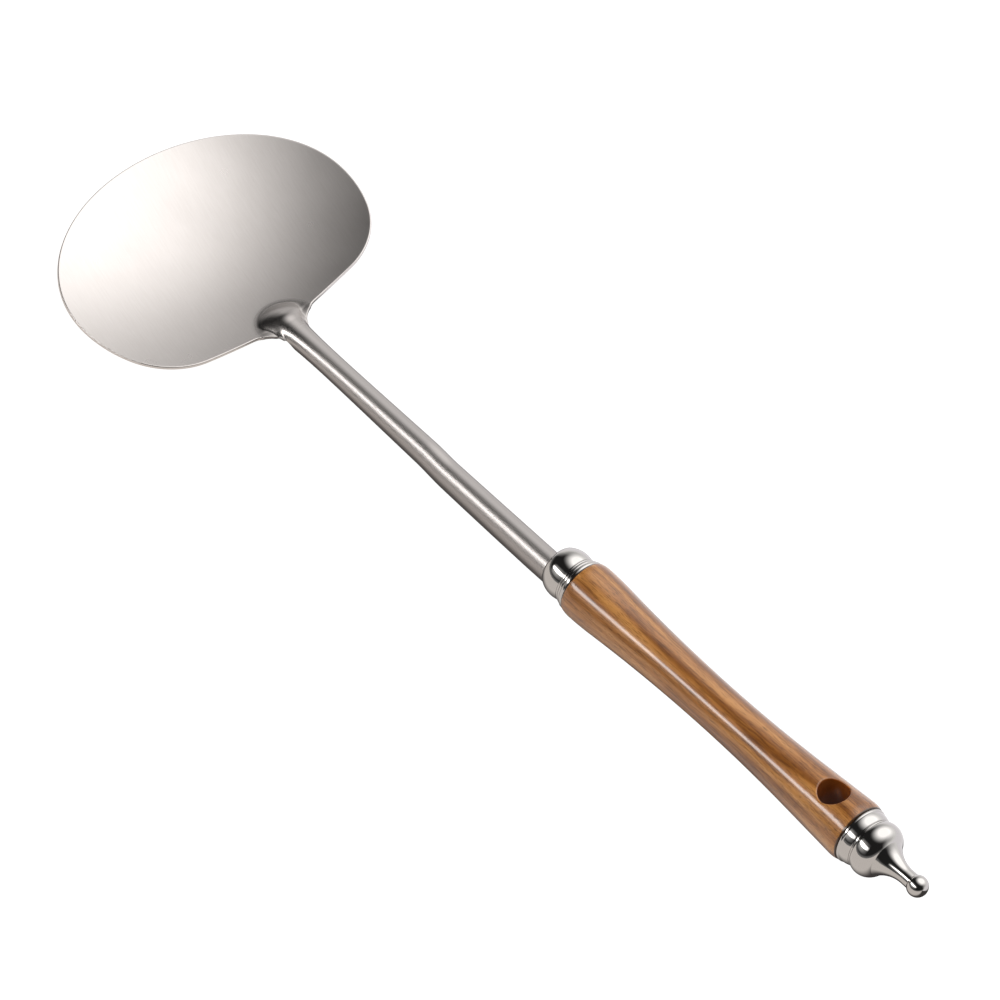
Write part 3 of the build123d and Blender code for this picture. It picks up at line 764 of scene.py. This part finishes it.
bands = grain(60, 4.0, 3.0, 31)
streaks = grain(10, 0.5, 3.0, 74)
pores = grain(4, 0.28, 2.0, 12)
band_tone = add(tree, "ShaderNodeValToRGB", {"Fac": bands})
ramp = band_tone.color_ramp
ramp.elements[0].position, ramp.elements[0].color = 0.36, colour("#754518")
ramp.elements[1].position, ramp.elements[1].color = 0.64, colour("#AC7840")
ramp.elements.new(0.5).color = colour("#935F2C")
# Streaks are darkest where the band is dark already.
streak_mask = add(tree, "ShaderNodeMapRange", {
    "Value": streaks, "From Min": 0.51, "From Max": 0.62, "To Max": 0.8})
dark_where = add(tree, "ShaderNodeMapRange", {
    "Value": bands, "From Min": 0.36, "From Max": 0.58, "To Min": 1.0, "To Max": 0.35})
streak_amount = add(tree, "ShaderNodeMath", {0: streak_mask, 1: dark_where}, operation="MULTIPLY")
streaked = add(tree, "ShaderNodeMix", {
    "Factor": streak_amount, "A": band_tone, "B": colour("#54300F")}, data_type="RGBA")
pore_mask = add(tree, "ShaderNodeMapRange", {
    "Value": pores, "From Min": 0.55, "From Max": 0.66, "To Max": 0.6})
grained = add(tree, "ShaderNodeMix", {
    "Factor": pore_mask, "A": streaked, "B": colour("#502C10")}, data_type="RGBA")
# Lacquer soaked into the bore's end grain, which makes it a deep orange brown.
drilled_at = add(tree, "ShaderNodeMapping", {
    "Vector": at, "Location": (-hole_x * MM, 0, 0), "Scale": (1, 1, 0)})
drilled_r = add(tree, "ShaderNodeVectorMath", {0: drilled_at}, operation="LENGTH")
in_bore = add(tree, "ShaderNodeMapRange", {
    "Value": drilled_r, "From Min": hole_r * MM, "From Max": (hole_r + 0.35) * MM,
    "To Min": 0.88, "To Max": 0.0})
drilled = add(tree, "ShaderNodeMix", {
    "Factor": in_bore, "A": grained, "B": colour("#7E3F0E")}, data_type="RGBA")
# A dark line of glue and polish where the wood meets the chrome at both ends.
station = add(tree, "ShaderNodeSeparateXYZ", {0: at}).outputs["X"]
grip_middle, half_length = (joint_x + grip_end_x) / 2, (grip_end_x - joint_x) / 2
past_middle = add(tree, "ShaderNodeMath", {0: station, 1: grip_middle * MM}, operation="SUBTRACT")
from_middle = add(tree, "ShaderNodeMath", {0: past_middle}, operation="ABSOLUTE")
at_joint = add(tree, "ShaderNodeMapRange", {
    "Value": from_middle, "From Min": (half_length - 0.75) * MM,
    "From Max": (half_length - 0.45) * MM, "To Max": 0.9})
jointed = add(tree, "ShaderNodeMix", {
    "Factor": at_joint, "A": drilled, "B": colour("#2A1B10")}, data_type="RGBA")
wood_relief = add(tree, "ShaderNodeBump", {"Strength": 0.10, "Distance": 0.05 * MM, "Height": streaks})
wood_shader = add(tree, "ShaderNodeBsdfPrincipled", {
    "Base Color": jointed, "Roughness": 0.4, "IOR": 1.5, "Specular IOR Level": 0.2,
    "Coat Weight": 1.0, "Coat Roughness": 0.12, "Coat IOR": 1.6, "Normal": wood_relief})
add(tree, "ShaderNodeOutputMaterial", {0: wood_shader})
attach(grip, "root")
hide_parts("wooden_handle")


# End finial: turned from brass and chrome-plated like the ferrule. A tapered collar
# with a rounded lip and a thin ring carries a bead, a hollow cone and a small ball.
lip_width, collar_end_x, collar_end_r = 1.25, 288.5, 9.65
thin_ring_x, thin_ring_r, thin_ring_width = 288.8, 9.7, 0.5
bead_start_x, bead_start_r, bead_crown_x, bead_crown_r = 289.6, 9.85, 291.9, 10.3
crease_x, crease_r = 297.3, 7.1
cone_end_x, neck_r = 307.0, 2.92
end_ball_x, end_ball_r = 312.3, 3.85

finial_start_x, lip_end_x, lip_groove_r = grip_end_x + joint_gap, grip_end_x + lip_width, grip_end_r - 0.42
thin_ring_end_x, thin_groove_r = thin_ring_x + thin_ring_width, thin_ring_r - ring_groove
finial_profile = [(finial_start_x, 0), (finial_start_x, 9.0)]
finial_profile += bead_points(finial_start_x, lip_end_x, grip_end_r - 0.02, 0.3)
finial_profile += [(lip_end_x + 0.08, lip_groove_r)]
finial_profile += swept_to((collar_end_x - 0.1, collar_end_r), (lip_end_x + 0.3, lip_groove_r), 13)
finial_profile += [(collar_end_x, collar_end_r - 0.12), (collar_end_x, thin_groove_r),
                   (thin_ring_x, thin_groove_r)]
finial_profile += bead_points(thin_ring_x, thin_ring_end_x, thin_ring_r, 0.12)
finial_profile += [(thin_ring_end_x, thin_groove_r), (bead_start_x, thin_groove_r),
                   (bead_start_x, bead_start_r - 0.12)]
finial_profile += swept_to((bead_start_x + 0.1, bead_start_r + 0.03), (bead_crown_x, bead_crown_r), 14)[::-1]
finial_profile += swept_to((crease_x, crease_r), (bead_crown_x, bead_crown_r), 32)[1:]
finial_profile += swept_to((crease_x + 0.12, crease_r - 0.1), (cone_end_x, neck_r), 40)[::-1]
ball_from = math.asin(neck_r / end_ball_r)
finial_profile += [(end_ball_x - end_ball_r * math.cos(ball_from) - 0.25, neck_r)]
finial_profile += arc_points(end_ball_x, end_ball_r, 180 - math.degrees(ball_from), 0, 40)
finial = turned("finial_turned", finial_profile, chrome)
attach(finial, "root")
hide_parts("end_finial")


# Tang and stud: the plain turned steel inside the handle. The tang fills the rolled
# shaft's end and runs into the wood, and the stud holds the finial.
turned_steel, tree = new_material("mild_steel_turned")
at = tool_frame(tree)
# Tool marks round the axis, 0.25 mm apart, give bare turned steel its fine rings.
tool_marks = add(tree, "ShaderNodeTexWave", {
    "Vector": at, "Scale": 2 * math.pi / (20 * 0.25 * MM), "Distortion": 1.5, "Detail": 1.0},
    wave_type="BANDS", bands_direction="X").outputs["Fac"]
marks = add(tree, "ShaderNodeBump", {"Strength": 0.3, "Distance": 0.01 * MM, "Height": tool_marks})
mark_tone = add(tree, "ShaderNodeMix", {
    "Factor": tool_marks, "A": colour("#8F8F91"), "B": colour("#A3A3A4")}, data_type="RGBA")
turned_shader = add(tree, "ShaderNodeBsdfPrincipled", {
    "Base Color": mark_tone, "Metallic": 1.0, "Roughness": 0.36, "Normal": marks})
add(tree, "ShaderNodeOutputMaterial", {0: turned_shader})
for node in ("handle_tang", "finial_stud"):
    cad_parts[node].data.materials.clear()
    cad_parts[node].data.materials.append(turned_steel)
